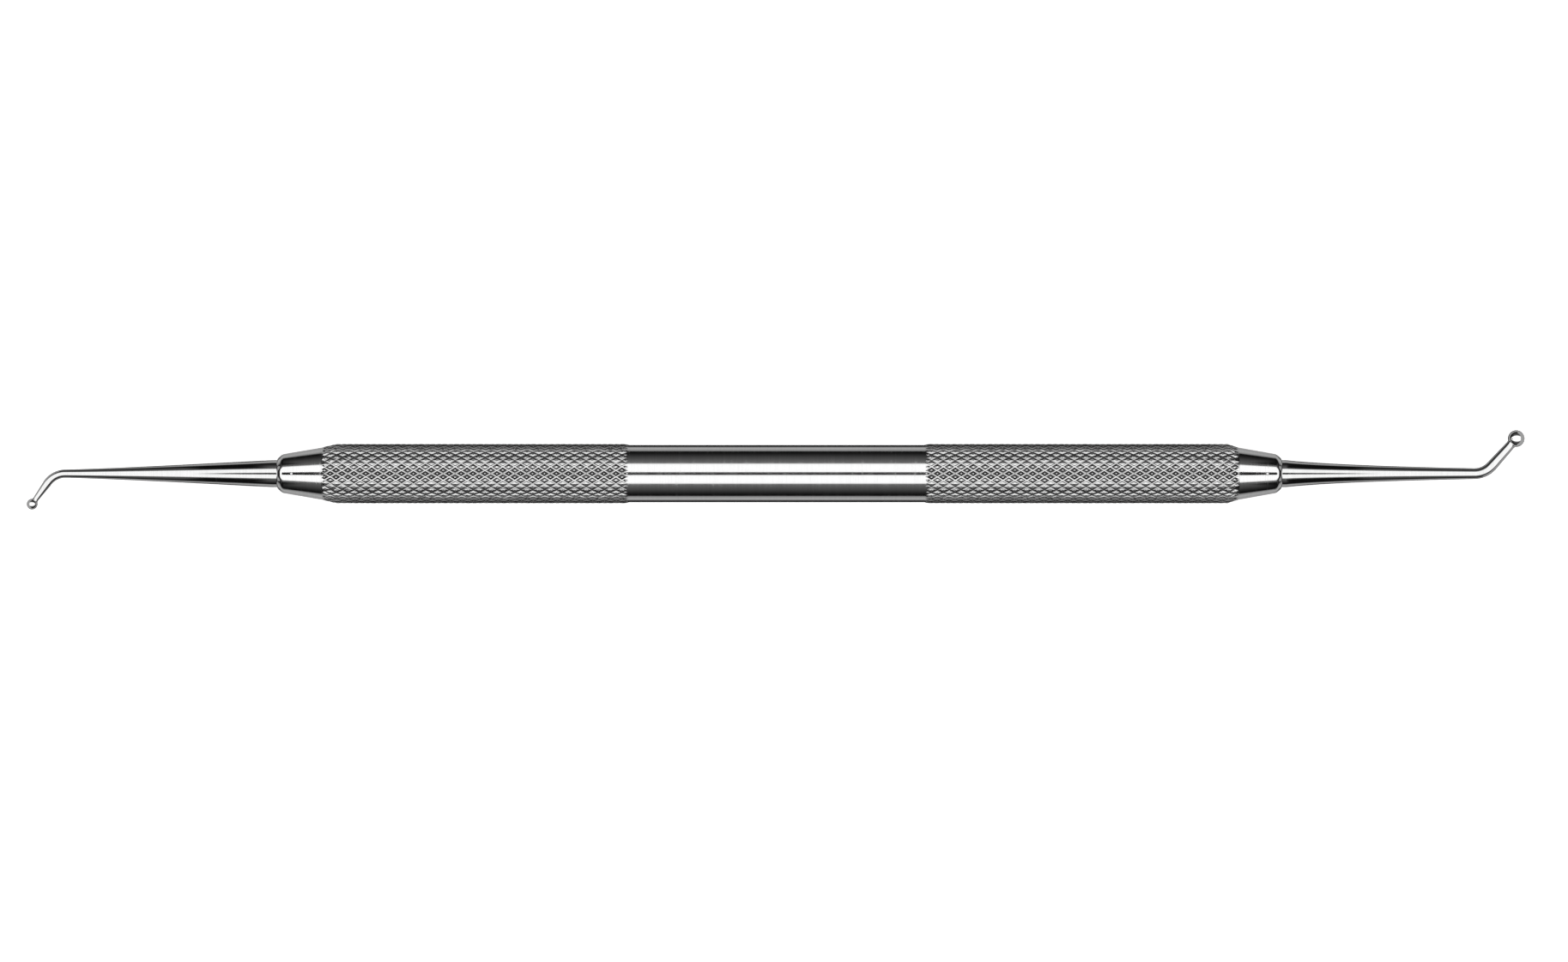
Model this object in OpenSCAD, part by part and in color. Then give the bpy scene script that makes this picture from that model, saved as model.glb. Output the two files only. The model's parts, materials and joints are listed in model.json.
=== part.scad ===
// Double-ended ball burnisher: a knurled tubular handle with a bent, ball-tipped shank at each end.
// Millimetres. X runs along the handle towards the large ball, Y is the side its tip bends to, Z is up.
// The origin is on the handle's axis, in the middle of the plain band.

/* [Handle tube] */
// Length of the plain band between the two grips
band_len = 32.5; // [20:0.5:45]
// Outer diameter of the plain band
band_d = 6.3; // [5.8:0.1:8]
// Height of the knurling's crests above the plain band
knurl_rise = 0.13; // [0.05:0.01:0.4]
// Length over which the knurling rises from the plain band
knurl_run_out = 0.6; // [0.3:0.1:1.5]
// Bore of the tube
bore_d = 4.6; // [3.8:0.1:5]
// Diameter at both ends of the tube, after the chamfer
tube_end_d = 5.85; // [5.3:0.05:6]
// Length of the grip at the small end, up to its chamfer
small_grip_len = 32.3; // [20:0.1:45]
// Length of the chamfer at the small end
small_chamfer_len = 1.4; // [0.6:0.1:2.5]
// Length of the grip at the large end, up to its chamfer
large_grip_len = 33.4; // [20:0.1:45]
// Length of the chamfer at the large end
large_chamfer_len = 1.1; // [0.6:0.1:2.5]

/* [Noses] */
// Diameter of each nose where it meets the tube
nose_base_d = 5.8; // [5.2:0.1:6]
// Diameter of each nose at its front
nose_tip_d = 4.1; // [4.1:0.1:5]
// Radius of the rounded front edge
nose_edge_r = 0.5; // [0.1:0.05:0.5]
// Length of the cone at the small end
small_nose_len = 5; // [3:0.1:8]
// Length of the cone at the large end
large_nose_len = 4.8; // [3:0.1:8]
// Length of the spigot that is pressed into the tube
spigot_len = 8; // [4:0.5:15]
// Chamfer at the inner end of the spigot
spigot_chamfer = 0.4; // [0.1:0.1:0.6]

/* [Lock pins] */
// Diameter of the cross pins that hold the shanks in the noses
pin_d = 0.3; // [0.2:0.1:1]
// Distance from the front of the nose to the pin
pin_setback = 1.7; // [1.2:0.1:2.5]

/* [Shanks] */
// Diameter of the tang inside the nose and of the collar in front of it
tang_d = 3; // [2.4:0.1:3]
// Length of the tang behind the front of the nose
tang_len = 11.5; // [6:0.5:12]
// Length of the plain collar in front of the nose
collar_len = 0.5; // [0.2:0.1:2]

/* [Small tip] */
// Distance from the nose to the corner of the bend
small_corner = 24.6; // [15:0.1:35]
// Angle of the bend
small_angle = 54; // [20:1:75]
// Radius of the bend, at the wire's centre
small_bend_r = 2.4; // [1:0.1:2.8]
// Diameter of the neck
small_neck_d = 0.92; // [0.6:0.02:1.2]
// How far along the taper its waist lies, as a share of the length
small_waist_at = 0.76; // [0.4:0.02:0.9]
// Diameter that the taper's waist is drawn towards
small_waist_d = 1.15; // [1.15:0.05:1.9]
// Diameter of the arm at the ball
small_arm_d = 0.55; // [0.4:0.05:0.7]
// Distance from the corner of the bend to the ball's centre
small_reach = 4.15; // [3:0.05:7]
// Diameter of the small ball
small_ball_d = 1.2; // [0.9:0.1:2]

/* [Large tip] */
// Distance from the nose to the corner of the bend
large_corner = 22.4; // [15:0.1:35]
// Angle of the bend
large_angle = 48; // [20:1:75]
// Radius of the bend, at the wire's centre
large_bend_r = 2.6; // [1:0.1:3]
// Diameter of the neck
large_neck_d = 1.2; // [0.8:0.05:1.6]
// How far along the taper its waist lies, as a share of the length
large_waist_at = 0.23; // [0.2:0.01:0.5]
// Diameter that the taper's waist is drawn towards
large_waist_d = 1.85; // [1.6:0.05:2.2]
// Diameter of the arm at the ball
large_arm_d = 0.95; // [0.6:0.05:1.2]
// Distance from the corner of the bend to the ball's centre
large_reach = 5.2; // [4:0.1:8]
// Diameter of the large ball
large_ball_d = 1.85; // [1.4:0.05:3]

/* [Hidden] */
$fn = 96;
// Straight facets in the rounded edge of a nose, and cones in the hollow taper of a shank
edge_steps = 6;
taper_steps = 12;
// How far an arm's root runs back into its bend, and how much thinner it starts, so that the two fuse
arm_lap = 0.1;
arm_inset = 0.01;
// From the middle of the band to each end of the tube, and to the front of each nose
small_wall = band_len / 2 + small_grip_len + small_chamfer_len;
large_wall = band_len / 2 + large_grip_len + large_chamfer_len;
small_front = small_wall + small_nose_len;
large_front = large_wall + large_nose_len;

// A solid of revolution about X; each point is [radius, distance along X].
module turned(points) {
    rotate([0, 90, 0])
        rotate_extrude()
            polygon(points);
}

// Each end is drawn pointing along +X and bending to +Y; the small end is the same, turned about Z.
module small_end() {
    rotate([0, 0, 180])
        children();
}

// Outline of a nose from its shoulder to its rounded front edge.
function nose_outline(wall, len) =
    let (base_r = nose_base_d / 2,
         tip_r = nose_tip_d / 2,
         slope = atan2(base_r - tip_r, len))
    concat([[base_r, wall]],
           [for (i = [0 : edge_steps])
               let (a = slope + (90 - slope) * i / edge_steps)
               [tip_r - nose_edge_r * (1 - cos(a)), wall + len - nose_edge_r * (1 - sin(a))]]);

// Rod across the nose, on the Z axis, that the pins and their holes are cut with.
module pin_rod(front) {
    translate([front - pin_setback, 0, 0])
        cylinder(h = 2 * nose_base_d, d = pin_d, center = true);
}

// Turned cone with a spigot for the tube, bored through for the tang.
module nose(wall, len) {
    bore_r = bore_d / 2;
    back = wall - spigot_len;
    difference() {
        turned(concat([[tang_d / 2, back],
                       [bore_r - spigot_chamfer, back],
                       [bore_r, back + spigot_chamfer],
                       [bore_r, wall]],
                      nose_outline(wall, len),
                      [[tang_d / 2, wall + len]]));
        pin_rod(wall + len);
    }
}

// Cross pin through the nose and the tang, its ends ground flush with the cone.
module lock_pin(wall, len) {
    intersection() {
        pin_rod(wall + len);
        turned(concat([[0, wall]], nose_outline(wall, len), [[0, wall + len]]));
    }
}

// Point on a quadratic curve from a to c, drawn towards b.
function curve(a, b, c, t) = (1 - t) * (1 - t) * a + 2 * t * (1 - t) * b + t * t * c;

// Hollow taper from the collar to the neck, steeper behind its waist than in front of it.
function hollow_taper(from, to, waist_at, waist_d, neck_d) =
    let (waist = [waist_d / 2, from + waist_at * (to - from)])
    [for (i = [0 : taper_steps]) curve([tang_d / 2, from], waist, [neck_d / 2, to], i / taper_steps)];

// How far a bend starts before its corner.
function bend_run(bend_r, angle) = bend_r * tan(angle / 2);

module ball(front, corner, angle, reach, ball_d) {
    translate([front + corner + reach * cos(angle), reach * sin(angle), 0])
        sphere(d = ball_d);
}

// Tang, collar, taper, bend and arm in one piece; the arm ends in a cup that the ball is brazed into.
module shank(front, waist_at, waist_d, corner, angle, bend_r, neck_d, arm_d, reach, ball_d) {
    back = front - tang_len;
    bend_x = front + corner - bend_run(bend_r, angle);
    taper = hollow_taper(front + collar_len, bend_x, waist_at, waist_d, neck_d);
    arm_len = reach - bend_run(bend_r, angle);
    difference() {
        union() {
            turned(concat([[0, back], [tang_d / 2, back]], taper, [[0, bend_x]]));
            translate([bend_x, bend_r, 0])
                rotate([0, 0, -90])
                    rotate_extrude(angle = angle)
                        translate([bend_r, 0])
                            circle(d = neck_d);
            translate([bend_x + bend_r * sin(angle), bend_r * (1 - cos(angle)), 0])
                rotate([0, 90, angle])
                    translate([0, 0, -arm_lap])
                        cylinder(h = arm_len + arm_lap, d1 = neck_d - arm_inset, d2 = arm_d);
        }
        ball(front, corner, angle, reach, ball_d);
        pin_rod(front);
    }
}

// Knurled tube. The knurling is drawn as a plain cylinder at the height of its crests.
module handle_tube() {
    half_band = band_len / 2;
    bore_r = bore_d / 2;
    crest_r = band_d / 2 + knurl_rise;
    color("silver")
        turned([[bore_r, -small_wall],
                [tube_end_d / 2, -small_wall],
                [crest_r, -half_band - small_grip_len],
                [crest_r, -half_band - knurl_run_out],
                [band_d / 2, -half_band],
                [band_d / 2, half_band],
                [crest_r, half_band + knurl_run_out],
                [crest_r, half_band + large_grip_len],
                [tube_end_d / 2, large_wall],
                [bore_r, large_wall]]);
}

module small_end_nose() {
    color("lightgray")
        small_end()
            nose(small_wall, small_nose_len);
}

module large_end_nose() {
    color("lightgray")
        nose(large_wall, large_nose_len);
}

module small_end_shank() {
    color("silver")
        small_end()
            shank(small_front, small_waist_at, small_waist_d, small_corner, small_angle, small_bend_r,
                  small_neck_d, small_arm_d, small_reach, small_ball_d);
}

module large_end_shank() {
    color("silver")
        shank(large_front, large_waist_at, large_waist_d, large_corner, large_angle, large_bend_r,
              large_neck_d, large_arm_d, large_reach, large_ball_d);
}

module small_ball() {
    color("gainsboro")
        small_end()
            ball(small_front, small_corner, small_angle, small_reach, small_ball_d);
}

module large_ball() {
    color("gainsboro")
        ball(large_front, large_corner, large_angle, large_reach, large_ball_d);
}

module small_end_pin() {
    color("gray")
        small_end()
            lock_pin(small_wall, small_nose_len);
}

module large_end_pin() {
    color("gray")
        lock_pin(large_wall, large_nose_len);
}

handle_tube();
small_end_nose();
large_end_nose();
small_end_shank();
large_end_shank();
small_ball();
large_ball();
small_end_pin();
large_end_pin();
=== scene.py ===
"""Looks of the double-ended ball burnisher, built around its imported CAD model.

Lengths are in metres, in the part's own frame: X runs along the handle towards the large ball, Y is the
side that the large tip bends to, and Z is up. What the frame can't say is given here in millimetres.
"""
import json
import math

import bmesh
import bpy
import numpy as np
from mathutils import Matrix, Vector


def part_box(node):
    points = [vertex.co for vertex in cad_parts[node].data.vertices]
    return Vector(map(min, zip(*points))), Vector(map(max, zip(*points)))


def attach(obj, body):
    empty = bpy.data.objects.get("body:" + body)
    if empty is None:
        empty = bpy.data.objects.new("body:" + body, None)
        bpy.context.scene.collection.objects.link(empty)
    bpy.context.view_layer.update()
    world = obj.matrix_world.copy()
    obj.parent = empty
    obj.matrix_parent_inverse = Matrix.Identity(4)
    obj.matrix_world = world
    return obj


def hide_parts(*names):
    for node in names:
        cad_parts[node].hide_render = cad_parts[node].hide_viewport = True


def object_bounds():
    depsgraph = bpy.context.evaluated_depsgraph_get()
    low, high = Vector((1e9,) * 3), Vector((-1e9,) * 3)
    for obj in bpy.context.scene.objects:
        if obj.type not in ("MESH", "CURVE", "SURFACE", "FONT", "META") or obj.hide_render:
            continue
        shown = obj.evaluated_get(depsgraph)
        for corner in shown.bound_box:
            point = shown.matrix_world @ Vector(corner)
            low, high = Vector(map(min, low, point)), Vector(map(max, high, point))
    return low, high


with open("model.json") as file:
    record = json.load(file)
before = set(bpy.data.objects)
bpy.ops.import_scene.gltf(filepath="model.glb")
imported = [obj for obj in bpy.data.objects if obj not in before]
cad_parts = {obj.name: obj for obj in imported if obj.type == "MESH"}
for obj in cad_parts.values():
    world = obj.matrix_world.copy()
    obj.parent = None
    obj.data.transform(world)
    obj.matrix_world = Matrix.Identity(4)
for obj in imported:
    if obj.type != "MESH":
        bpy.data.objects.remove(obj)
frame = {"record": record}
cad_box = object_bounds()

# ---------------------------------------------------------------- sizes

MM = 0.001
# Points round a turned piece
SIDES = 96

# Handle tube: the plain band is the part's one mount
band = frame["record"]["mounts"][0]["dims"]
BAND_RADIUS = band["r_mm"] * MM
HALF_BAND = band["length_mm"] / 2 * MM
CREST_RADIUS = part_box("handle_tube")[1].z
TUBE_END_RADIUS = 2.925 * MM
BORE_RADIUS = 2.3 * MM
# Bevel that breaks the sharp edges of the tube and the noses
EDGE_BREAK = 0.04 * MM

# Knurling: two sets of helical grooves, right-handed and left-handed, that leave diamonds between them
KNURL_STARTS = 27
KNURL_PITCH = 1.305 * MM
KNURL_DEPTH = 0.07 * MM
GROOVE_FLOOR = 0.005 * MM
# Distance from one groove to the next of its set, square to them
KNURL_GAP = 1 / math.hypot(1 / KNURL_PITCH, KNURL_STARTS / (2 * math.pi * BAND_RADIUS))
# Lattice lines across one pitch: the middle of a groove, the foot and the top of its flank, and the top and
# the foot of the next groove's flank; then their heights above the middle of the groove
FOOT_AT, TOP_AT = 0.105, 0.405
LINES = np.array([0, FOOT_AT, TOP_AT, 1 - TOP_AT, 1 - FOOT_AT])
HEIGHTS = np.array([0, GROOVE_FLOOR, KNURL_DEPTH, KNURL_DEPTH, GROOVE_FLOOR])
# Shading tilts in degrees: at a flank's foot and top, on the hollow floor of a groove, and on the domed
# crest. The flanks are shaded steeper than the mesh is, which gives shallow grooves their contrast.
TILTS = (44, 30, 14, 6)
# The same as slopes, as rise per pitch, and then at the near and far side of each strip between two lines
FOOT, TOP, HOLLOW, DOME = (math.tan(math.radians(tilt)) * KNURL_GAP for tilt in TILTS)
STRIPS = np.array([(0, HOLLOW), (FOOT, TOP), (DOME, -DOME), (-TOP, -FOOT), (-HOLLOW, 0)])
# Length over which the knurling fades into the band, and into the end of the tube
BAND_RUN = 0.12 * MM
WALL_RUN = 0.12 * MM
# Unevenness of the rolled diamonds: how much lower a crest may be, how far its top may tilt, and the share by
# which a flank may be steeper or flatter
CREST_WEAR = 0.012 * MM
CREST_TILT = 0.08
FLANK_SPREAD = 0.12
# The random numbers behind it: their seed, the rows of diamonds before they repeat, and the values for each
# diamond, which are its wear, its two tilts and its four flanks
UNEVEN_SEED = 27
UNEVEN_ROWS = 64
UNEVEN_VALUES = 7

# Noses
NOSE_TIP_RADIUS = 2.05 * MM
# The front edge, as two bevels: the length of each along X, its tilt, and the radius that blends its start
NOSE_BEVELS = [(0.44 * MM, math.radians(41), 0.8 * MM), (0.1 * MM, math.radians(56), 0.2 * MM)]
SPIGOT_CHAMFER = 0.4 * MM

# Lock pins: how far the middle of an end stands proud of the cone, and how far its rim sinks below it, then
# the points round the pin and the rings on each end
PIN_DOME = 0.035 * MM
PIN_SINK = 0.01 * MM
PIN_SIDES = 32
PIN_STEPS = 6

# Shanks: the collar in front of the nose and its blend into the taper, and the chamfer at the inner end of
# the tang, then the stations along the taper, the bend and the arm
COLLAR = 0.5 * MM
COLLAR_BLEND = 0.1 * MM
TANG_CHAMFER = 0.2 * MM
TAPER_STEPS = 32
BEND_STEPS = 24
ARM_STEPS = 9
# Braze fillet round the foot of the ball: how far it stands out from the arm, how far it runs back along it
# as a multiple of that, and the stations along it and across the cup that the ball sits in
BRAZE = 0.07 * MM
BRAZE_RUN = 3
BRAZE_STEPS = 3
CUP_STEPS = 4

# Balls: the steps from one pole to the other
BALL_STEPS = 48


class End:
    """One end of the tool, measured as if it pointed along +X. side is -1 for the end turned about Z."""

    def __init__(self, name, side):
        self.name = name
        self.side = side
        self.wall = self.along("handle_tube")[1]
        self.spigot_back, self.front, self.base_radius = self.along(name + "_end_nose")
        self.tang_back, _, self.tang_radius = self.along(name + "_end_shank")
        low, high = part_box(name + "_ball")
        centre = (low + high) / 2 * side
        self.ball = np.array([centre.x, centre.y])
        self.ball_radius = high.z
        low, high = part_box(name + "_end_pin")
        self.pin_x = (low.x + high.x) / 2 * side
        self.pin_radius = high.y

    def along(self, node):
        """Where a node starts and stops on the axis, and its radius."""
        low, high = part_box(node)
        start, stop = (low.x, high.x) if self.side > 0 else (-high.x, -low.x)
        return start, stop, high.z


# Each end's chamfer on the tube, the angle and radius of its bend, and the radii of its neck and of its arm
# at the ball
small = End("small", -1)
small.chamfer = 1.4 * MM
small.angle = math.radians(54)
small.bend_radius = 2.4 * MM
small.neck_radius = 0.46 * MM
small.arm_radius = 0.275 * MM

large = End("large", 1)
large.chamfer = 1.1 * MM
large.angle = math.radians(48)
large.bend_radius = 2.6 * MM
large.neck_radius = 0.6 * MM
large.arm_radius = 0.475 * MM
# Each taper is drawn towards a waist at this share of its length, of this radius
small.waist = (0.76, 0.575 * MM)
large.waist = (0.23, 0.925 * MM)

# ---------------------------------------------------------------- mesh tools


class Surface:
    """Points and faces of one closed mesh, built up ring by ring."""

    def __init__(self):
        self.points = []
        self.faces = []
        self.count = 0

    def ring(self, points):
        """Adds points and returns their numbers."""
        points = np.atleast_2d(points)
        self.points.append(points)
        self.count += len(points)
        return np.arange(self.count - len(points), self.count)

    def join(self, a, b):
        """Faces between two rings of the same length, or between a ring and a single point."""
        if len(a) == 1:
            a, b = b, a
        after = np.roll(a, -1)
        if len(b) == 1:
            self.faces += [(p, q, b[0]) for p, q in zip(a, after)]
        else:
            self.faces += list(zip(a, after, np.roll(b, -1), b))

    def loft(self, rings, closed=False):
        """Joins each ring to the next, and the last to the first if it is closed."""
        numbers = [self.ring(r) for r in rings]
        for a, b in zip(numbers, numbers[1:] + numbers[:1] if closed else numbers[1:]):
            self.join(a, b)
        return numbers

    def mesh(self, name):
        """The mesh, smooth, with its faces turned outwards."""
        made = bpy.data.meshes.new(name)
        faces = [tuple(int(i) for i in f) for f in self.faces]
        made.from_pydata(np.concatenate(self.points).tolist(), [], faces)
        work = bmesh.new()
        work.from_mesh(made)
        bmesh.ops.recalc_face_normals(work, faces=work.faces)
        work.to_mesh(made)
        work.free()
        made.shade_smooth()
        return made


def turns(count=SIDES):
    """Angles round a ring, from +Z towards +Y."""
    return np.arange(count) * 2 * math.pi / count


def round_x(x, radius, angles):
    """Points round the X axis."""
    angles = np.asarray(angles)
    return np.stack([x + 0 * angles, radius * np.sin(angles), radius * np.cos(angles)], axis=1)


def round_path(centre, heading, radius):
    """A ring round a path in the XY plane, square to its heading; a zero radius gives one point."""
    if radius == 0:
        return np.array([[centre[0], centre[1], 0.0]])
    across = np.array([-math.sin(heading), math.cos(heading), 0.0])
    up = np.array([0.0, 0.0, 1.0])
    angles = turns()
    middle = np.array([centre[0], centre[1], 0.0])
    return middle + radius * (np.outer(np.sin(angles), across) + np.outer(np.cos(angles), up))


def rounded(corners, steps=6):
    """A closed outline of (x, r, fillet) corners, each rounded by an arc of its fillet radius."""
    outline = []
    for i, (x, r, fillet) in enumerate(corners):
        corner = np.array([x, r])
        if fillet == 0:
            outline.append(corner)
            continue
        back = np.array(corners[i - 1][:2]) - corner
        ahead = np.array(corners[(i + 1) % len(corners)][:2]) - corner
        back /= np.linalg.norm(back)
        ahead /= np.linalg.norm(ahead)
        half = math.acos(np.clip(back @ ahead, -1, 1)) / 2
        middle = (back + ahead) / np.linalg.norm(back + ahead)
        centre = corner + middle * fillet / math.sin(half)
        first = corner + back * fillet / math.tan(half) - centre
        last = corner + ahead * fillet / math.tan(half) - centre
        sweep = math.pi - 2 * half
        for t in np.linspace(0, 1, steps + 1):
            arc = (math.sin((1 - t) * sweep) * first + math.sin(t * sweep) * last) / math.sin(sweep)
            outline.append(centre + arc)
    return outline


def smoothstep(value):
    """Smooth rise from 0 to 1 while value goes from 0 to 1."""
    t = np.clip(value, 0, 1)
    return t * t * (3 - 2 * t)


def steepness(value):
    """Slope of smoothstep."""
    t = np.clip(value, 0, 1)
    return 6 * t * (1 - t)


def new_piece(name, mesh, side=1):
    """An object of a mesh, turned half round about Z for the small end."""
    if side < 0:
        co = np.array([v.co for v in mesh.vertices])
        co[:, :2] *= -1
        mesh.vertices.foreach_set("co", co.astype(np.float32).ravel())
    piece = bpy.data.objects.new(name, mesh)
    bpy.context.scene.collection.objects.link(piece)
    return piece


def weigh_normals(piece):
    """Large faces keep their own shading, and the small fillets between them take the bend."""
    weighted = piece.modifiers.new("weighted_normals", "WEIGHTED_NORMAL")
    weighted.mode = "FACE_AREA"
    weighted.keep_sharp = True


# ---------------------------------------------------------------- handle tube


class Grip:
    """One knurled stretch of the handle, from the band to the wall, on the side of one end."""

    def __init__(self, end):
        self.end = end
        self.start, self.stop = sorted((end.side * HALF_BAND, end.side * end.wall))

    def crest(self, x):
        """Radius of the crests, and its slope along X, with the chamfer at the wall."""
        into = np.abs(x) - (self.end.wall - self.end.chamfer)
        fall = (CREST_RADIUS - TUBE_END_RADIUS) / self.end.chamfer
        return CREST_RADIUS - fall * np.maximum(into, 0), -fall * (into > 0) * self.end.side

    def fade(self, x):
        """From 0 at the ends of the knurling to 1 where it is full, and its slope along X."""
        from_band = (np.abs(x) - HALF_BAND) / BAND_RUN
        from_wall = (self.end.wall - np.abs(x)) / WALL_RUN
        a, b = smoothstep(from_band), smoothstep(from_wall)
        slope = steepness(from_band) / BAND_RUN * b - a * steepness(from_wall) / WALL_RUN
        return a * b, slope * self.end.side

    def rows(self):
        """Numbers of the lattice's rows: those well inside the grip, and one more at each end."""
        step = KNURL_PITCH / 2 / len(LINES)
        spare = 1.5 * step
        first = math.ceil((self.start + spare) / step)
        last = math.floor((self.stop - spare) / step)
        return np.arange(first - 1, last + 2)[:, None]

    def shape(self, uneven):
        """Works out every point of the lattice, row by row; the first and last rows are set square."""
        # Each point lies on line k of the one set of grooves and line m of the other, u and v pitches along
        per = len(LINES)
        k = np.arange(KNURL_STARTS * per)[None, :]
        m = k - self.rows()
        u, v = k // per + LINES[k % per], m // per + LINES[m % per]
        self.strip_u, self.strip_v = np.broadcast_to(k % per, m.shape), m % per
        self.theta = (u + v) * math.pi / KNURL_STARTS
        self.x = (u - v) * KNURL_PITCH / 2
        self.x[0], self.x[-1] = self.start, self.stop

        # The deeper of the two grooves sets a point's height, and the diamond that it is on its unevenness
        height = np.minimum(HEIGHTS[self.strip_u], HEIGHTS[self.strip_v])
        cell = uneven[(k // per - m // per) % len(uneven), k // per]
        self.steeper = 1 + FLANK_SPREAD * (2 * cell[..., 3:] - 1)
        top = height == KNURL_DEPTH
        foot = height == GROOVE_FLOOR
        height = height - top * CREST_WEAR * cell[..., 0]
        crest, crest_slope = self.crest(self.x)
        plain = np.minimum(BAND_RADIUS, crest)
        full = crest - KNURL_DEPTH + height
        self.share, share_slope = self.fade(self.x)
        # Painted shade: the colour is darkened at the foot of each flank, in the crease beside the groove's
        # floor
        self.dirt = self.share * foot
        self.radius = plain + self.share * (full - plain)
        # Slopes that the grooves' own are added to: of the chamfer, of the run-outs, and of a crest's tilt
        self.long_slope = crest_slope * (plain < BAND_RADIUS) + share_slope * (full - plain)
        self.long_slope += top * CREST_TILT * (cell[..., 1] - 0.5)
        self.round_slope = top * CREST_TILT * (cell[..., 2] - 0.5)

    def points(self):
        """The lattice's points, row by row."""
        y, z = self.radius * np.sin(self.theta), self.radius * np.cos(self.theta)
        return np.stack([self.x, y, z], axis=-1).reshape(-1, 3)

    def triangles(self):
        """Triangles between the rows, by number of point, with a normal for each corner. A corner takes the
        slope of the groove that its triangle belongs to, so that the edges of the diamonds are crisp."""
        per = len(LINES)
        rows, count = self.x.shape
        number = np.arange(rows * count).reshape(rows, count)
        after = np.roll(number, -1, axis=1)
        corners = np.stack([number[1:-1], after[2:], after[1:-1], number[:-2]], axis=-1)
        step_u, step_v = np.array([0, 1, 1, 0]), np.array([0, 0, 1, 1])
        strip_u, strip_v = self.strip_u[1:-1, :, None, None], self.strip_v[1:-1, :, None, None]

        # Each small diamond is cut along the crease between its two grooves
        alike = (strip_u < per / 2) == (strip_v < per / 2)
        cut = np.where(alike, [[0, 1, 2], [0, 2, 3]], [[0, 1, 3], [1, 2, 3]])
        faces = np.take_along_axis(corners[:, :, None, :], cut, axis=-1)
        side_u, side_v = step_u[cut], step_v[cut]
        sum_u = HEIGHTS[(strip_u + side_u) % per].sum(axis=-1, keepdims=True)
        sum_v = HEIGHTS[(strip_v + side_v) % per].sum(axis=-1, keepdims=True)
        steeper = self.steeper[1:-1, :, None, None]
        steeper_u = np.where(strip_u < per / 2, steeper[..., 0], steeper[..., 1])
        steeper_v = np.where(strip_v < per / 2, steeper[..., 2], steeper[..., 3])
        slope_u = STRIPS[strip_u, side_u] * steeper_u * (sum_u <= sum_v)
        slope_v = STRIPS[strip_v, side_v] * steeper_v * (sum_v <= sum_u)

        rim = np.zeros((count, 3))
        first = np.stack([number[0], after[1], after[0]], axis=-1)
        last = np.stack([number[-1], after[-1], number[-2]], axis=-1)
        faces = np.concatenate([faces.reshape(-1, 3), first, last])
        slope_u = np.concatenate([slope_u.reshape(-1, 3), rim, rim])
        slope_v = np.concatenate([slope_v.reshape(-1, 3), rim, rim])

        share, radius, theta = (a.ravel()[faces] for a in (self.share, self.radius, self.theta))
        round_slope = (slope_u + slope_v) * KNURL_STARTS / (2 * math.pi) / radius
        round_slope = share * (round_slope + self.round_slope.ravel()[faces])
        long_slope = share * (slope_u - slope_v) / KNURL_PITCH + self.long_slope.ravel()[faces]
        outward = np.stack([0 * theta, np.sin(theta), np.cos(theta)], axis=-1)
        round_way = np.stack([0 * theta, np.cos(theta), -np.sin(theta)], axis=-1)
        normals = outward - round_slope[..., None] * round_way
        normals[..., 0] -= long_slope
        return faces, normals / np.linalg.norm(normals, axis=-1, keepdims=True)


def plain_normals(mesh, numbers):
    """Corner normals of turned faces: the face's own on the walls and broken edges, and radial elsewhere."""
    normals = []
    for polygon in mesh.polygons[numbers]:
        flat = abs(polygon.normal.x) > 0.5
        for v in polygon.vertices:
            radial = (mesh.vertices[v].co * Vector((0, 1, 1))).normalized()
            if flat:
                normals.append(polygon.normal)
            else:
                normals.append(radial if radial @ polygon.normal > 0 else -radial)
    return normals


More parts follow.
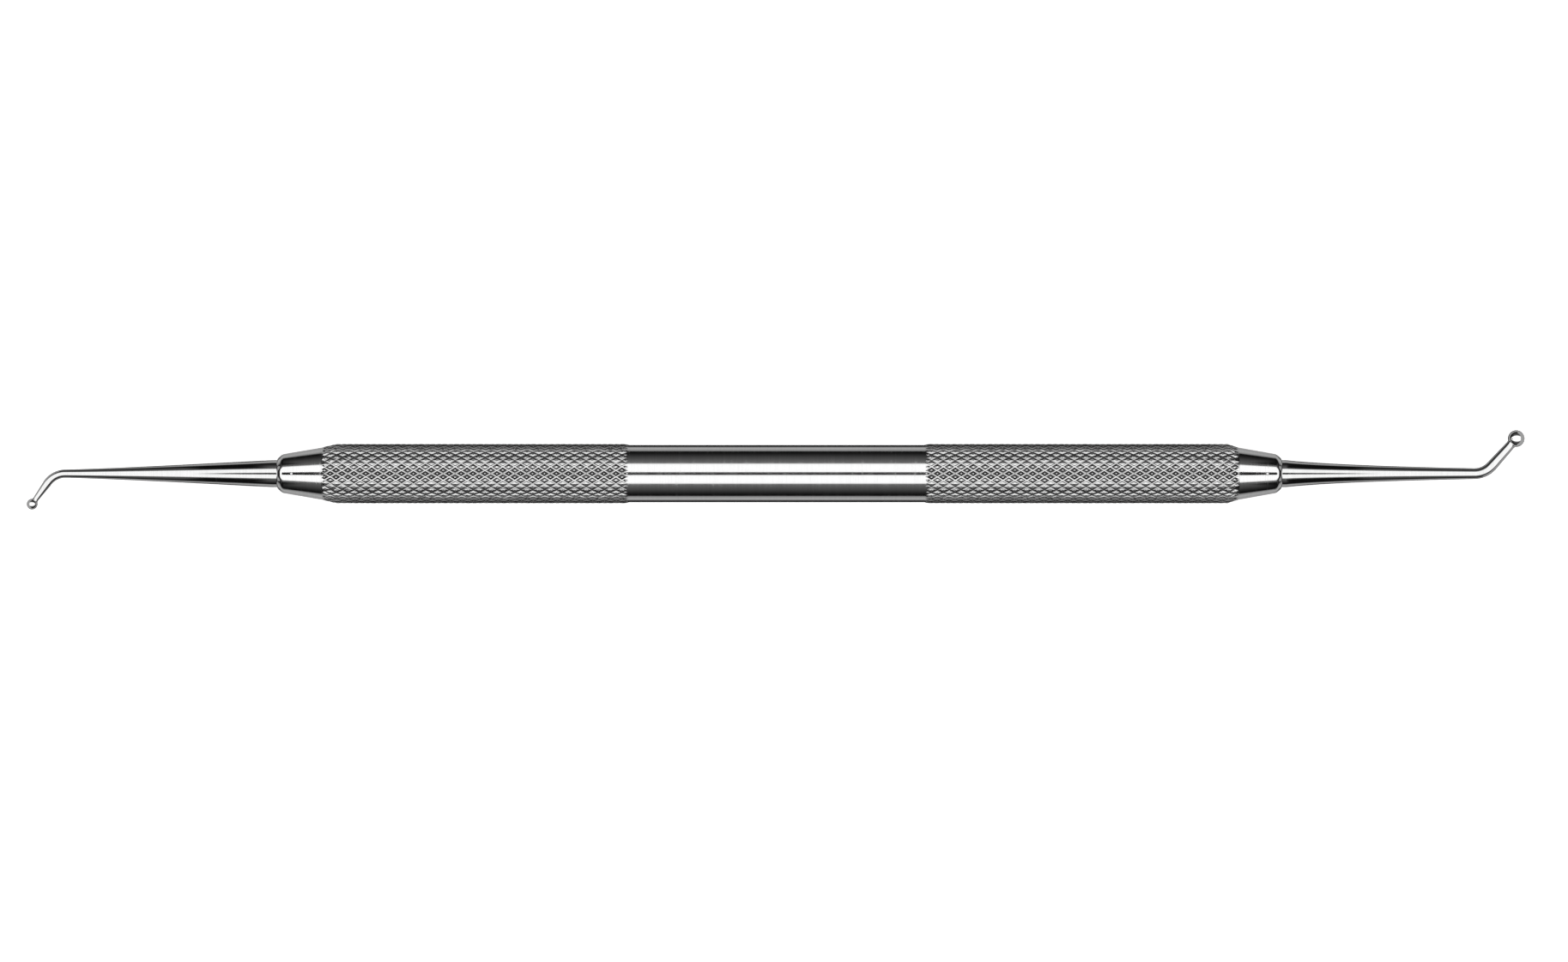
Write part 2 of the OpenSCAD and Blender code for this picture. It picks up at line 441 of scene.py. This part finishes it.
def handle():
    """The tube: bore, walls, plain band and both knurled grips, in one closed mesh."""
    surface = Surface()
    dirt, normals = [], []
    uneven = np.random.default_rng(UNEVEN_SEED).random((UNEVEN_ROWS, KNURL_STARTS, UNEVEN_VALUES))
    rims = []
    for end in (small, large):
        grip = Grip(end)
        grip.shape(uneven)
        numbers = surface.ring(grip.points()).reshape(grip.x.shape)
        faces, corner_normals = grip.triangles()
        surface.faces += (faces + numbers[0, 0]).tolist()
        normals.append(corner_normals)
        dirt.append(grip.dirt.ravel())
        rims += [numbers[0], numbers[-1]]
    left_wall, left_band, right_band, right_wall = rims
    knurled = np.array(surface.faces)

    def turn_to(ring, near):
        """The ring's numbers, starting from the point that lies nearest to the other ring's first."""
        points = np.concatenate(surface.points)
        gap = points[ring][:, 1:] - points[near[0]][1:]
        return np.roll(ring, -int(np.argmin((gap**2).sum(axis=1))))

    def match(ring, x, radius):
        """A plain ring at the same angles as another."""
        points = np.concatenate(surface.points)[ring]
        dirt.append(np.zeros(len(ring)))
        return surface.ring(round_x(x, radius, np.arctan2(points[:, 1], points[:, 2])))

    surface.join(left_band, turn_to(right_band, left_band))
    inner = []
    for end, wall in ((small, left_wall), (large, right_wall)):
        face = match(wall, end.side * end.wall, BORE_RADIUS + EDGE_BREAK)
        bore = match(wall, end.side * (end.wall - EDGE_BREAK), BORE_RADIUS)
        surface.join(wall, face)
        surface.join(face, bore)
        inner.append(bore)
    surface.join(inner[0], turn_to(inner[1], inner[0]))
    mesh = surface.mesh("knurled_handle")

    # The mesh may start a face at another of its corners, so each normal is found again by its point
    kept = np.empty(len(mesh.loops), dtype=np.int32)
    mesh.loops.foreach_get("vertex_index", kept)
    kept = kept[:knurled.size].reshape(-1, 3)
    order = np.argmax(kept[:, :, None] == knurled[:, None, :], axis=2)
    sorted_normals = np.take_along_axis(np.concatenate(normals), order[:, :, None], axis=1)
    rest = plain_normals(mesh, slice(len(knurled), None))
    mesh.normals_split_custom_set(sorted_normals.reshape(-1, 3).tolist() + [tuple(n) for n in rest])
    # Painted shade: marks where the steel's colour is darkened, at the foot of the knurl's flanks; the plain
    # rings get none
    layer = mesh.attributes.new("dirt", "FLOAT", "POINT")
    layer.data.foreach_set("value", np.concatenate(dirt).astype(np.float32))
    return new_piece("knurled_handle", mesh)


# ---------------------------------------------------------------- noses, pins, shanks and balls


def cone_radius(end, x):
    """Radius of the nose's cone, drawn on to its front as if the front edge were sharp."""
    return NOSE_TIP_RADIUS + (end.base_radius - NOSE_TIP_RADIUS) / (end.front - end.wall) * (end.front - x)


def nose(end):
    """Turned cone with its spigot, bored for the tang."""
    corners = [
        (end.spigot_back, end.tang_radius, 0),
        (end.spigot_back, BORE_RADIUS - SPIGOT_CHAMFER, 0),
        (end.spigot_back + SPIGOT_CHAMFER, BORE_RADIUS, 0),
        (end.wall, BORE_RADIUS, 0),
        (end.wall, end.base_radius, EDGE_BREAK),
    ]
    x = end.front - sum(length for length, _, _ in NOSE_BEVELS)
    radius = cone_radius(end, x)
    for length, tilt, blend in NOSE_BEVELS:
        corners.append((x, radius, blend))
        x, radius = x + length, radius - length * math.tan(tilt)
    corners += [(end.front, radius, EDGE_BREAK), (end.front, end.tang_radius, 0)]
    surface = Surface()
    surface.loft([round_x(x, r, turns()) for x, r in rounded(corners)], closed=True)
    piece = new_piece(end.name + "_nose_cone", surface.mesh(end.name + "_nose_cone"), end.side)
    weigh_normals(piece)
    return piece


def lock_pin(end):
    """Cross pin along Z. Its domed ends follow the cone, and stand a touch proud of it."""
    angles = turns(PIN_SIDES)
    ends = []
    for t in np.linspace(0, 1, PIN_STEPS + 1):
        x = end.pin_x + end.pin_radius * t * np.sin(angles)
        y = end.pin_radius * t * np.cos(angles)
        surface_z = np.sqrt(cone_radius(end, x) ** 2 - y**2)
        z = surface_z + PIN_DOME * (1 - t**2) - PIN_SINK * t**8
        ends.append(np.stack([x, y, z], axis=1)[:1 if t == 0 else None])
    surface = Surface()
    surface.loft(ends + [ring * (1, 1, -1) for ring in reversed(ends)])
    return new_piece(end.name + "_cross_pin", surface.mesh(end.name + "_cross_pin"), end.side)


def taper_radius(end, t):
    """Share of the taper's length and its radius there, as t runs from 0 at the collar to 1 at the neck."""
    at, radius = end.waist
    a, b, c = (1 - t) ** 2, 2 * t * (1 - t), t**2
    return b * at + c, a * end.tang_radius + b * radius + c * end.neck_radius


def shank(end):
    """Tang, collar, taper, bend and arm in one sweep; the arm ends in the brazed cup that holds the ball."""
    run = end.bend_radius * math.tan(end.angle / 2)
    corner = end.ball[0] - end.ball[1] / math.tan(end.angle)
    bend = corner - run
    taper_start = end.front + COLLAR
    path = [((end.tang_back, 0), 0, 0),
            ((end.tang_back, 0), 0, end.tang_radius - TANG_CHAMFER),
            ((end.tang_back + TANG_CHAMFER, 0), 0, end.tang_radius),
            ((end.front, 0), 0, end.tang_radius),
            ((taper_start - COLLAR_BLEND, 0), 0, end.tang_radius)]
    for t in np.linspace(0, 1, TAPER_STEPS + 1):
        share, radius = taper_radius(end, t)
        path.append(((taper_start + share * (bend - taper_start), 0), 0, radius))
    for heading in np.linspace(0, end.angle, BEND_STEPS + 1)[1:]:
        centre = (bend + end.bend_radius * math.sin(heading), end.bend_radius * (1 - math.cos(heading)))
        path.append((centre, heading, end.neck_radius))

    # Along the arm, each station is given by what is left to the ball's centre; the cup's rim lies on the
    # ball
    along = np.array([math.cos(end.angle), math.sin(end.angle)])
    arm = np.hypot(end.ball[0] - corner, end.ball[1]) - run
    cup = math.sqrt(end.ball_radius**2 - (end.arm_radius + BRAZE) ** 2)
    plain = np.linspace(arm, cup, ARM_STEPS + 2)[1:-1]
    fillet = cup + (BRAZE_RUN - 1) * BRAZE * np.linspace(1, 0, BRAZE_STEPS + 1)
    for left in [*plain, *fillet]:
        radius = end.neck_radius + (arm - left) / arm * (end.arm_radius - end.neck_radius)
        flare = BRAZE * max(0.0, 1 - (left - cup) / (BRAZE_RUN * BRAZE)) ** 2
        path.append((end.ball - along * left, end.angle, radius + flare))
    rim = path[-1][2]
    for t in np.linspace(1, 0, CUP_STEPS + 1)[1:]:
        left = math.sqrt(end.ball_radius**2 - (rim * t) ** 2)
        path.append((end.ball - along * left, end.angle, rim * t))
    surface = Surface()
    surface.loft([round_path(*station) for station in path])
    return new_piece(end.name + "_bent_shank", surface.mesh(end.name + "_bent_shank"), end.side)


def ball(end):
    """Ground ball on the end of the arm, its poles on the arm's axis."""
    along = np.array([math.cos(end.angle), math.sin(end.angle)])
    rings = []
    for polar in np.linspace(0, math.pi, BALL_STEPS + 1):
        radius = end.ball_radius * math.sin(polar) if 0 < polar < math.pi else 0
        rings.append(round_path(end.ball - along * end.ball_radius * math.cos(polar), end.angle, radius))
    surface = Surface()
    surface.loft(rings)
    return new_piece(end.name + "_tip_ball", surface.mesh(end.name + "_tip_ball"), end.side)


# ---------------------------------------------------------------- materials


class Graph:
    """Short form of a node tree: values that are sockets are linked, and the others are set."""

    def __init__(self, owner):
        owner.use_nodes = True
        self.tree = owner.node_tree
        self.tree.nodes.clear()

    def node(self, kind, inputs, **settings):
        made = self.tree.nodes.new("ShaderNode" + kind)
        for key, value in settings.items():
            setattr(made, key, value)
        for key, value in inputs.items():
            if isinstance(value, bpy.types.NodeSocket):
                self.tree.links.new(value, made.inputs[key])
            else:
                made.inputs[key].default_value = value
        return made

    def math(self, operation, a, b=0.0):
        return self.node("Math", {0: a, 1: b}, operation=operation).outputs[0]

    def between(self, value, low, high, start=0.0, stop=1.0, shape="LINEAR"):
        """start where value is low, stop where it is high, and clamped outside them."""
        inputs = {"Value": value, "From Min": low, "From Max": high, "To Min": start, "To Max": stop}
        return self.node("MapRange", inputs, interpolation_type=shape).outputs[0]

    def noise(self, where, scale, stretch=(1, 1, 1), turn=(0, 0, 0), detail=2.0):
        """Noise of a feature size of about 1 / scale, drawn out along the axes with a small stretch."""
        mapped = self.node("Mapping", {"Vector": where, "Rotation": turn, "Scale": stretch}).outputs[0]
        return self.node("TexNoise", {"Vector": mapped, "Scale": scale, "Detail": detail}).outputs[0]


def grey(value):
    """An opaque grey."""
    return (value, value, value, 1)


# The span that most of a noise's values lie in
NOISE_SPAN = (0.3, 0.7)
# Turning marks round X: the scale of their noise, how far it is drawn out round the part, how dark they get
# beside clean steel, the noise values at which they turn rough, and the share of roughness that they add
MARK_SCALE = 9000
MARK_STRETCH = (1, 0.04, 0.04)
MARK_SHADE = 0.93
MARK_PEAKS = (0.45, 0.8)
MARK_ROUGHNESS = 0.5
# Hairline scratches: the scale of their noise, how far it is drawn out, the two ways that they run, in
# radians from the marks, the noise values between which they show, the roughness that they add, and their
# relief beside the marks' own
HAIR_SCALE = 5000
HAIR_STRETCH = (1, 0.03, 0.03)
HAIR_TURNS = (0.5, -0.9)
HAIR_PEAKS = (0.66, 0.72)
HAIR_ROUGHNESS = 0.08
HAIR_RELIEF = -0.6
# Faint clouding from handling: its scale, tone and noise span, and the factors that it changes roughness by
CLOUD_SCALE = 700
CLOUD_SHADE = 0.97
CLOUD_SPAN = (0.35, 0.65)
CLOUD_ROUGHNESS = (0.8, 1.25)
# Relief of the marks, in metres, and the strength that it is shown with
RELIEF = 4e-7
RELIEF_STRENGTH = 0.5
# Painted shade: the corners at the foot of the flanks are painted darker, as shade in the creases: the tone
# there beside clean steel's, and the roughness that is added there
PAINTED_SHADE_TONE = 0.58
CREASE_ROUGHNESS = 0.03


def steel(name, tone, roughness, turned=1.0, knurled=False):
    """Polished stainless steel of a grey tone, with turning marks, scratches and clouding. turned is the
    strength of their relief. Knurled steel gets painted shade: its colour is darkened at the foot of the
    flanks, where the mesh's attribute for it says so."""
    material = bpy.data.materials.new(name)
    g = Graph(material)
    where = g.node("TexCoord", {}).outputs["Object"]
    marks = g.noise(where, MARK_SCALE, stretch=MARK_STRETCH, detail=3.0)
    hairs = [g.noise(where, HAIR_SCALE, stretch=HAIR_STRETCH, turn=(0, 0, turn)) for turn in HAIR_TURNS]
    scratches = g.math("MAXIMUM", *[g.between(hair, *HAIR_PEAKS) for hair in hairs])
    cloud = g.noise(where, CLOUD_SCALE, detail=3.0)

    shade = g.between(marks, *NOISE_SPAN, MARK_SHADE, 1.0)
    shade = g.math("MULTIPLY", shade, g.between(cloud, *CLOUD_SPAN, CLOUD_SHADE, 1.0))
    if knurled:
        # Painted shade: darker colour at the foot of the knurl's flanks, read from the mesh's attribute
        dirt = g.node("Attribute", {}, attribute_name="dirt").outputs["Fac"]
        shade = g.math("MULTIPLY", shade, g.between(dirt, 0.0, 1.0, 1.0, PAINTED_SHADE_TONE))
    colour = g.node("Mix", {"Factor": shade, 6: grey(0), 7: grey(tone)}, data_type="RGBA").outputs[2]

    smoothest, roughest = (roughness * factor for factor in CLOUD_ROUGHNESS)
    rough = g.between(cloud, *NOISE_SPAN, smoothest, roughest)
    rough = g.math("ADD", rough, g.between(marks, *MARK_PEAKS, 0.0, roughness * MARK_ROUGHNESS))
    rough = g.math("ADD", rough, g.math("MULTIPLY", scratches, HAIR_ROUGHNESS))
    if knurled:
        rough = g.math("ADD", rough, g.math("MULTIPLY", dirt, CREASE_ROUGHNESS))

    height = g.math("ADD", marks, g.math("MULTIPLY", scratches, HAIR_RELIEF))
    inputs = {"Strength": RELIEF_STRENGTH * turned, "Distance": RELIEF, "Height": height}
    bump = g.node("Bump", inputs).outputs[0]
    inputs = {"Base Color": colour, "Metallic": 1.0, "Roughness": rough, "Normal": bump}
    shader = g.node("BsdfPrincipled", inputs)
    g.node("OutputMaterial", {"Surface": shader.outputs[0]})
    return material


# ---------------------------------------------------------------- stage

# Floor: its half width, the scale of its grain, the tones that the grain runs between, and the glow that
# keeps it near white
FLOOR_HALF = 1.5
GRAIN_SCALE = 1200
GRAIN_TONES = (0.78, 0.8)
FLOOR_GLOW = 0.75
# Light of the backdrop past the floor's edge, as the camera sees it
BACKDROP = 1.0

# Light of the room that the steel reflects, by the angle from straight up in degrees: a dark ceiling round
# the two soft boxes, dark walls, the pale table and the shadow under the tool
ROOM = [(0, 0.03), (20, 0.12), (45, 0.17), (60, 0.10), (80, 0.030), (94, 0.005), (101, 0.010),
        (107, 0.32), (118, 0.46), (130, 0.50), (135, 0.10), (150, 0.02), (180, 0.02)]
# The two soft boxes: where their near, far and end edges start and stop fading, in degrees from straight up,
# across the handle and along it
BOX_NEAR = (5.4, 6.8)
BOX_FAR = (37.0, 44.0)
BOX_END = (74.0, 80.0)
BOX_LIGHT = 1.35
# White cards over the tips, as light as the boxes: where each starts and all stop along X, their soft ends,
# half width and height
WHITE_START = {"small": 62.5 * MM, "large": 64.5 * MM}
WHITE_STOP = 100 * MM
WHITE_SOFT = 4 * MM
WHITE_HALF = 6 * MM
CARD_HEIGHT = 12 * MM
# Dark cards over the noses and collars, which sharpen the dark line there: their start, soft ends, half width
# and light
DARK_START = 53 * MM
DARK_SOFT = 2 * MM
DARK_HALF = 1.4 * MM
DARK_LIGHT = 0.02
# Pale cards on the table below the noses: their soft ends, half width and light
PALE_SOFT = 3 * MM
PALE_HALF = 8 * MM
PALE_LIGHT = 0.4
# Grey cards that stand beyond the balls: their distance from them, half width, top and light
STAND_GAP = 1.4 * MM
STAND_HALF = 14 * MM
STAND_TOP = 2 * MM
STAND_LIGHT = 0.42
# Black flags beside the collars: their span along X, its soft ends, their distance from the axis, and their
# light
FLAG_SPAN = (58 * MM, 68 * MM)
FLAG_SOFT = 2 * MM
FLAG_ASIDE = 14 * MM
FLAG_LIGHT = 0.006
# Below this height a direction counts as level, so that nothing is divided by zero
LEVEL = 0.001

# Camera: the width that it sees at the handle's axis, the point that it is centred on, and its lens in
# millimetres
PICTURE_WIDTH = 172.65 * MM
PICTURE_CENTRE = (0.8 * MM, -0.81 * MM)
LENS = 135
SENSOR_WIDTH = 36
CLIP_START = 0.01
CLIP_END = 10


def floor_material():
    """Pale matt paper, lit from within so that it stays near white."""
    material = bpy.data.materials.new("pale_paper")
    g = Graph(material)
    where = g.node("TexCoord", {}).outputs["Object"]
    grain = g.noise(where, GRAIN_SCALE, detail=4.0)
    tone = g.between(grain, *NOISE_SPAN, *GRAIN_TONES)
    colour = g.node("CombineColor", {"Red": tone, "Green": tone, "Blue": tone}).outputs[0]
    inputs = {"Base Color": colour, "Roughness": 1.0, "Specular IOR Level": 0.0,
              "Emission Color": grey(1), "Emission Strength": FLOOR_GLOW}
    shader = g.node("BsdfPrincipled", inputs)
    g.node("OutputMaterial", {"Surface": shader.outputs[0]})
    return material


def studio():
    """World: two long soft boxes overhead with a dark gap between them, in a graded room."""
    world = bpy.data.worlds.new("studio")
    g = Graph(world)
    way = g.node("TexCoord", {}).outputs["Generated"]
    x, y, z = g.node("SeparateXYZ", {"Vector": way}).outputs
    polar = g.math("DIVIDE", g.math("ARCCOSINE", z), math.pi)
    ramp = g.node("ValToRGB", {"Fac": polar})
    stops = ramp.color_ramp.elements
    for angle, value in ROOM[1:-1]:
        stops.new(angle / 180).color = grey(value)
    stops[0].color = grey(ROOM[0][1])
    stops[-1].color = grey(ROOM[-1][1])

    up = g.math("MAXIMUM", z, LEVEL)
    aside = g.math("DIVIDE", g.math("ABSOLUTE", y), up)
    along = g.math("DIVIDE", g.math("ABSOLUTE", x), up)
    tangents = [[math.tan(math.radians(a)) for a in edge] for edge in (BOX_NEAR, BOX_FAR, BOX_END)]
    near = g.between(aside, *tangents[0], shape="SMOOTHSTEP")
    far = g.between(aside, *tangents[1], 1.0, 0.0, shape="SMOOTHSTEP")
    end = g.between(along, *tangents[2], 1.0, 0.0, shape="SMOOTHSTEP")
    box = g.math("MULTIPLY", g.math("MULTIPLY", near, far), end)
    light = g.node("Mix", {"Factor": box, 6: ramp.outputs[0], 7: grey(BOX_LIGHT)}, data_type="RGBA")

    room = g.node("Background", {"Color": light.outputs[2], "Strength": 1.0})
    paper = g.node("Background", {"Color": grey(BACKDROP), "Strength": 1.0})
    seen = g.node("LightPath", {}).outputs["Is Camera Ray"]
    mixed = g.node("MixShader", {0: seen, 1: room.outputs[0], 2: paper.outputs[0]})
    g.node("OutputWorld", {"Surface": mixed.outputs[0]})
    bpy.context.scene.world = world


def floor():
    """Pale floor under the handle; the steel reflects the room's own table tone in its place."""
    surface = bpy.data.meshes.new("floor")
    level = cad_box[0].z
    corners = [(x * FLOOR_HALF, y * FLOOR_HALF, level) for x, y in ((-1, -1), (1, -1), (1, 1), (-1, 1))]
    surface.from_pydata(corners, [], [(0, 1, 2, 3)])
    made = bpy.data.objects.new("floor", surface)
    surface.materials.append(floor_material())
    bpy.context.scene.collection.objects.link(made)
    made.visible_glossy = False


def card_material(name, light, start, stop, soft):
    """Even light over a span of the distance from the middle of the handle, with soft ends."""
    material = bpy.data.materials.new(name)
    g = Graph(material)
    x = g.node("SeparateXYZ", {"Vector": g.node("TexCoord", {}).outputs["Object"]}).outputs[0]
    x = g.math("ABSOLUTE", x)
    solid = g.math("MULTIPLY", g.between(x, start, start + soft), g.between(x, stop - soft, stop, 1.0, 0.0))
    light = g.node("Emission", {"Color": grey(1), "Strength": light}).outputs[0]
    clear = g.node("BsdfTransparent", {}).outputs[0]
    mixed = g.node("MixShader", {0: solid, 1: clear, 2: light}).outputs[0]
    g.node("OutputMaterial", {"Surface": mixed})
    return material


def card(name, corners, material):
    """A studio card that only the steel's reflections see."""
    surface = bpy.data.meshes.new(name)
    surface.from_pydata(corners, [], [(0, 1, 2, 3)])
    surface.materials.append(material)
    made = bpy.data.objects.new(name, surface)
    bpy.context.scene.collection.objects.link(made)
    made.visible_camera = False
    made.visible_diffuse = False
    made.visible_shadow = False


def level_card(end, kind, light, span, soft, half, height):
    """A level card at one end, over a span along X, centred on the handle's axis."""
    start, stop = span
    material = card_material(f"{end.name}_{kind}", light, start, stop, soft)
    sides = ((start, -half), (stop, -half), (stop, half), (start, half))
    card(f"{end.name}_{kind}_card", [(end.side * x, y, height) for x, y in sides], material)


def standing_card(end):
    """A grey card that stands on the table beyond the tip, across X."""
    x = end.ball[0] + end.ball_radius + STAND_GAP
    # Even light all over: the span that the material covers runs past the card on both sides
    material = card_material(end.name + "_grey", STAND_LIGHT, 0, WHITE_STOP, WHITE_SOFT)
    table = cad_box[0].z
    sides = ((-STAND_HALF, table), (STAND_HALF, table), (STAND_HALF, STAND_TOP), (-STAND_HALF, STAND_TOP))
    card(end.name + "_grey_card", [(end.side * x, y, z) for y, z in sides], material)


def flags(end, material):
    """Two black cards that stand along X, on both sides of the collar."""
    start, stop = FLAG_SPAN
    for name, y in (("near", -FLAG_ASIDE), ("far", FLAG_ASIDE)):
        sides = ((start, 0), (stop, 0), (stop, CARD_HEIGHT), (start, CARD_HEIGHT))
        card(f"{end.name}_flag_{name}", [(end.side * x, y, z) for x, z in sides], material)


def cards():
    """Cards at each end: a white one over the tip, which fills the gap between the soft boxes, a dark one
    over the nose and the collar, a pale one below the nose, a grey one beyond the tip, and black flags
    beside the collar."""
    black = card_material("card_black", FLAG_LIGHT, *FLAG_SPAN, FLAG_SOFT)
    for end in (small, large):
        white_start = WHITE_START[end.name]
        white_span = (white_start, WHITE_STOP)
        dark_span = (DARK_START, white_start)
        pale_span = (end.wall - PALE_SOFT, end.front + PALE_SOFT)
        level_card(end, "white", BOX_LIGHT, white_span, WHITE_SOFT, WHITE_HALF, CARD_HEIGHT)
        level_card(end, "dark", DARK_LIGHT, dark_span, DARK_SOFT, DARK_HALF, CARD_HEIGHT)
        level_card(end, "pale", PALE_LIGHT, pale_span, PALE_SOFT, PALE_HALF, cad_box[0].z)
        standing_card(end)
        flags(end, black)


def camera():
    """Straight above the handle, with its long axis across the picture."""
    lens = bpy.data.cameras.new("camera")
    lens.lens = LENS
    lens.sensor_width = SENSOR_WIDTH
    lens.clip_start = CLIP_START
    lens.clip_end = CLIP_END
    made = bpy.data.objects.new("camera", lens)
    made.location = (*PICTURE_CENTRE, PICTURE_WIDTH * LENS / SENSOR_WIDTH)
    bpy.context.scene.collection.objects.link(made)
    bpy.context.scene.camera = made


# ---------------------------------------------------------------- assembly

# The finish of each material slot, by its tone and roughness
finishes = {
    "handle_steel": steel("handle_steel_finish", 0.78, 0.10, knurled=True),
    "nose_steel": steel("nose_steel_finish", 0.78, 0.09),
    "shank_steel": steel("shank_steel_finish", 0.72, 0.08),
    "ball_steel": steel("ball_steel_finish", 0.82, 0.06, turned=0.3),
    "pin_steel": steel("pin_steel_finish", 0.85, 0.12, turned=0.3),
}


def place(piece, node, slot):
    """Stands for a CAD node, rides on its body and takes the finish of its material slot."""
    piece.data.materials.append(finishes[slot])
    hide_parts(node)
    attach(piece, "root")


place(handle(), "handle_tube", "handle_steel")
for end in (small, large):
    place(nose(end), end.name + "_end_nose", "nose_steel")
    place(shank(end), end.name + "_end_shank", "shank_steel")
    place(ball(end), end.name + "_ball", "ball_steel")
    place(lock_pin(end), end.name + "_end_pin", "pin_steel")

studio()
floor()
cards()
camera()
bpy.context.scene.view_settings.view_transform = "Standard"
